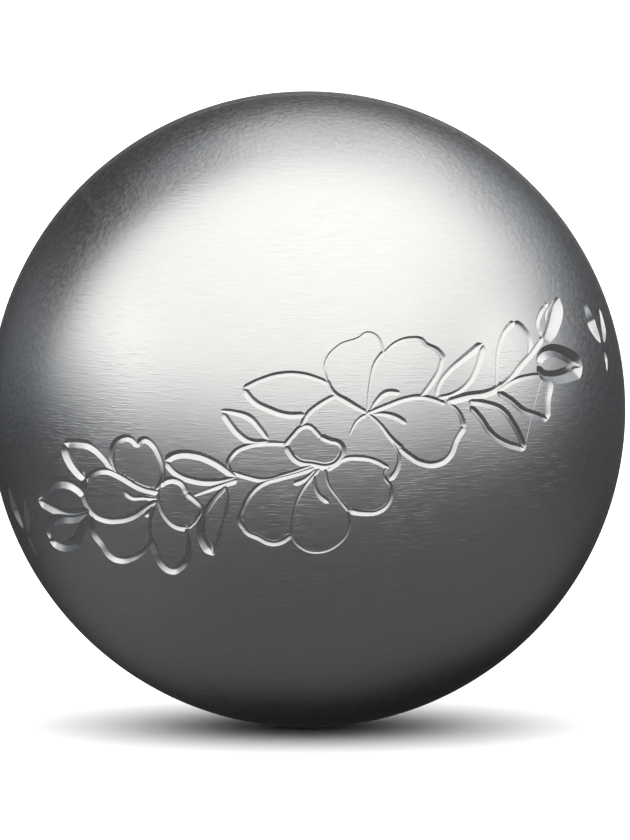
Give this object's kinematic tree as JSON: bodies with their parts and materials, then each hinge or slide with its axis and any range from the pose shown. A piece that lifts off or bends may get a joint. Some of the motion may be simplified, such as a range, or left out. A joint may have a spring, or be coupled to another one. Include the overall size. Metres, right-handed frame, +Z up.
{
  "type": "petanque boule",
  "caption": "Hollow steel petanque boule: half shells joined by a flush weld, satin finish, engraved with a flower and leaf garland.",
  "frame": {"origin": "centre of the ball", "axes": "+Z up as the ball lies in the picture, -Y towards the viewer through the middle of the garland, +X to the viewer's right; the weld lies on the plane y = 0"},
  "size_m": [0.074, 0.074, 0.074],
  "materials": {
    "shell_steel": "satin, fine turned brush lines",
    "weld_steel": "ground flush, satin"
  },
  "bodies": {
    "root": {"front_half_shell": "shell_steel", "rear_half_shell": "shell_steel", "weld_seam": "weld_steel"}
  },
  "joints": []
}
